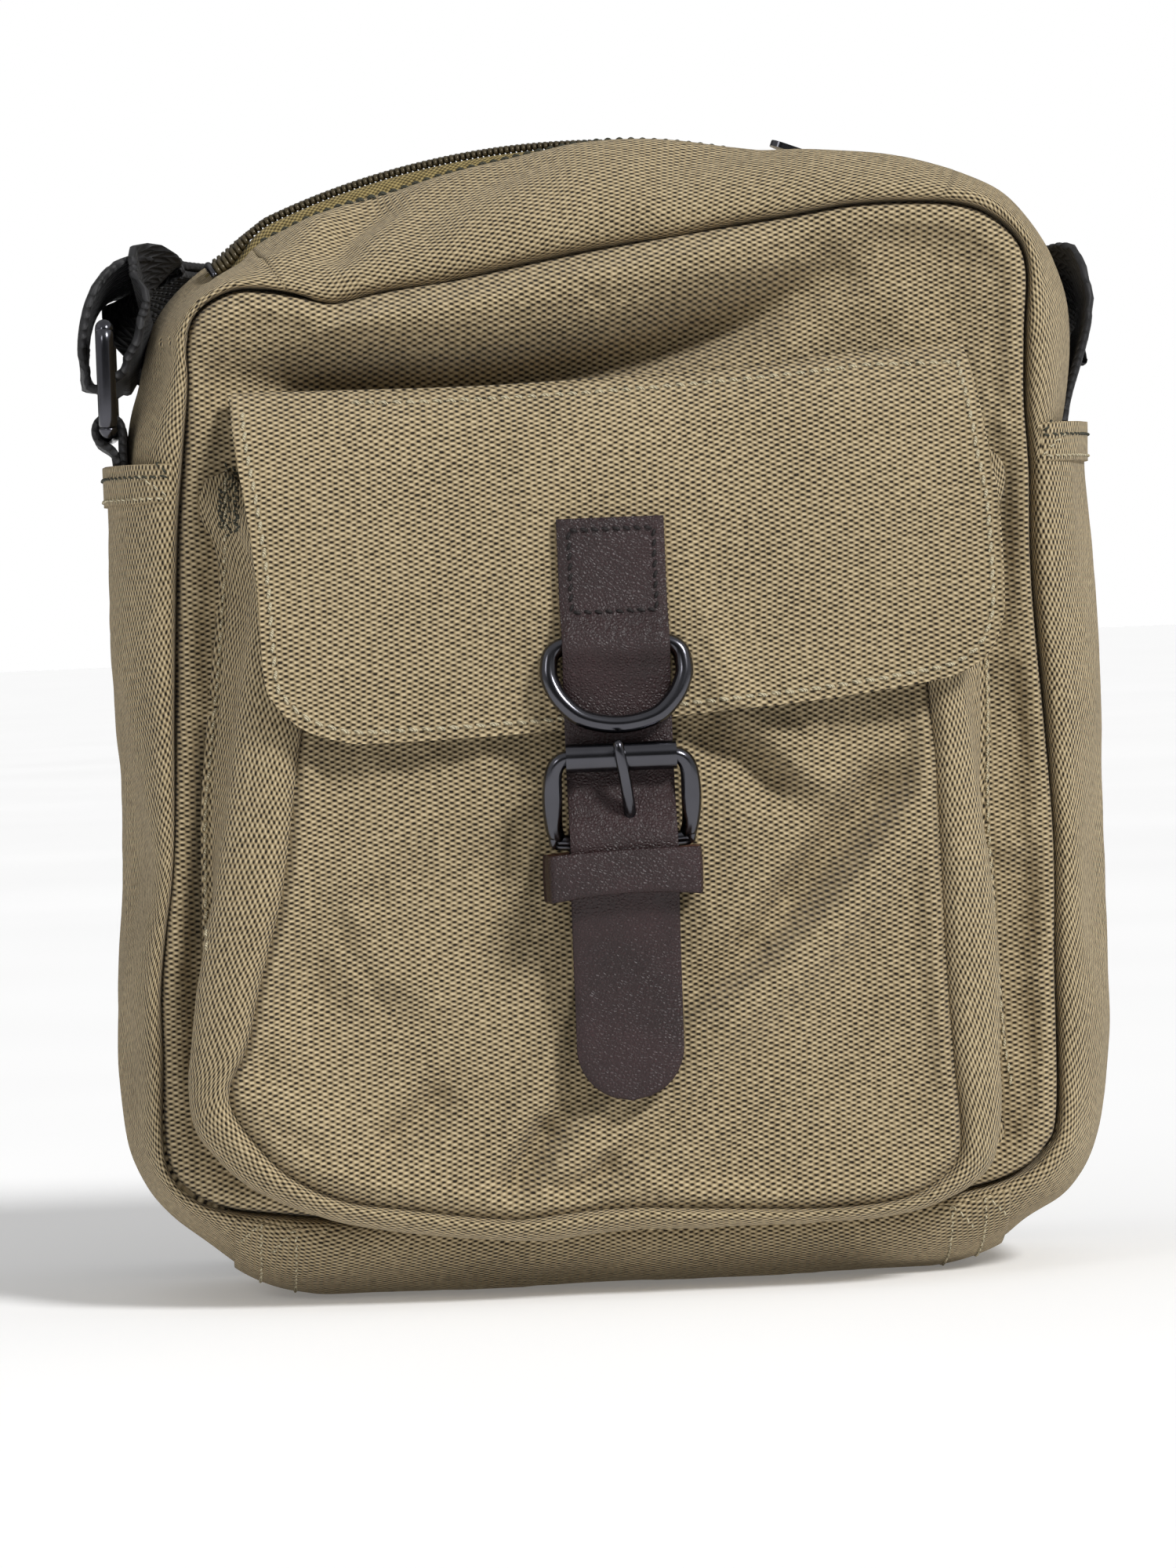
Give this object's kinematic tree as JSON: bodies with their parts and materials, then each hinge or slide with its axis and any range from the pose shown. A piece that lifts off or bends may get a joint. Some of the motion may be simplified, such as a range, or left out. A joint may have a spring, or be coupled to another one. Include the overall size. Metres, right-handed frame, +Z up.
{
  "type": "messenger bag",
  "caption": "Small upright khaki canvas crossbody bag with a domed zip top, bellows front pocket under a flap with a leather buckle strap, side pockets and a black webbing strap.",
  "frame": {"origin": "centre of the flat base face", "axes": "+Z up through the domed zip top, front with the flap faces -Y, +X to the viewer's right"},
  "size_m": [0.2498, 0.1578, 0.2698],
  "materials": {
    "canvas": "matte woven",
    "lining": "matte woven",
    "binding": "matte woven",
    "zip_tape": "matte woven",
    "zip_coil": "semi gloss",
    "gunmetal": "polished dark plating",
    "leather": "fine grain satin",
    "webbing": "ribbed"
  },
  "bodies": {
    "bag": {"front_panel": "canvas", "back_panel": "canvas", "left_gusset": "canvas", "right_gusset": "canvas", "top_gusset_front": "canvas", "top_gusset_back": "canvas", "base_gusset": "canvas", "left_side_pocket": "canvas", "left_pocket_hem": "canvas", "right_side_pocket": "canvas", "right_pocket_hem": "canvas", "pocket_panel": "canvas", "pocket_gusset": "canvas", "pocket_welt": "canvas", "flap_strip": "canvas", "lining": "lining", "front_seam_binding": "binding", "back_seam_binding": "binding", "zip_tape_front": "zip_tape", "zip_tape_back": "zip_tape", "zip_coil_front": "zip_coil", "zip_coil_back": "zip_coil", "zip_end_stops": "gunmetal", "snap_female": "gunmetal", "shoulder_strap": "webbing", "webbing_tab": "webbing"},
    "flap": {"flap_outer": "canvas", "flap_facing": "lining", "closure_strap": "leather", "buckle_tab": "leather", "buckle_frame": "gunmetal", "snap_male": "gunmetal"},
    "closure_ring": {"d_ring": "gunmetal"},
    "roller": {"buckle_roller": "gunmetal"},
    "prong": {"buckle_prong": "gunmetal"},
    "keeper": {"keeper_loop": "leather"},
    "slider": {"zip_slider": "gunmetal"},
    "pull": {"zip_pull": "gunmetal"},
    "side_ring": {"left_ring": "gunmetal"},
    "adjuster": {"strap_adjuster": "gunmetal", "strap_end_loop": "webbing"}
  },
  "joints": [
    {"name": "flap_hinge", "type": "hinge", "parent": "bag", "child": "flap", "pos_m": [0, -0.0388, 0.2125], "axis": [-1, 0, 0], "range_deg": [0, 92]},
    {"name": "closure_ring_swing", "type": "hinge", "parent": "flap", "child": "closure_ring", "pos_m": [0, -0.0645, 0.151], "axis": [-1, 0, 0], "range_deg": [0, 150]},
    {"name": "roller_spin", "type": "hinge", "parent": "flap", "child": "roller", "pos_m": [0, -0.0688, 0.1252], "axis": [1, 0, 0], "continuous": true},
    {"name": "prong_swing", "type": "hinge", "parent": "flap", "child": "prong", "pos_m": [0, -0.064, 0.106], "axis": [1, 0, 0], "range_deg": [0, 28]},
    {"name": "keeper_slide", "type": "slide", "parent": "flap", "child": "keeper", "axis": [0, 0, -1], "range_m": [0, 0.028]},
    {"name": "zip_run", "type": "hinge", "parent": "bag", "child": "slider", "pos_m": [0, 0, 0.0842], "axis": [0, -1, 0], "range_deg": [0, 47]},
    {"name": "pull_swing", "type": "hinge", "parent": "slider", "child": "pull", "pos_m": [0.07518, 0, 0.25711], "axis": [0, 1, 0], "range_deg": [0, 140]},
    {"name": "side_ring_rock", "type": "hinge", "parent": "bag", "child": "side_ring", "pos_m": [-0.1134, 0, 0.2052], "axis": [0, 1, 0], "range_deg": [-3, 3]},
    {"name": "adjuster_slide", "type": "slide", "parent": "bag", "child": "adjuster", "axis": [0, 0, -1], "range_m": [0, 0.012]}
  ]
}
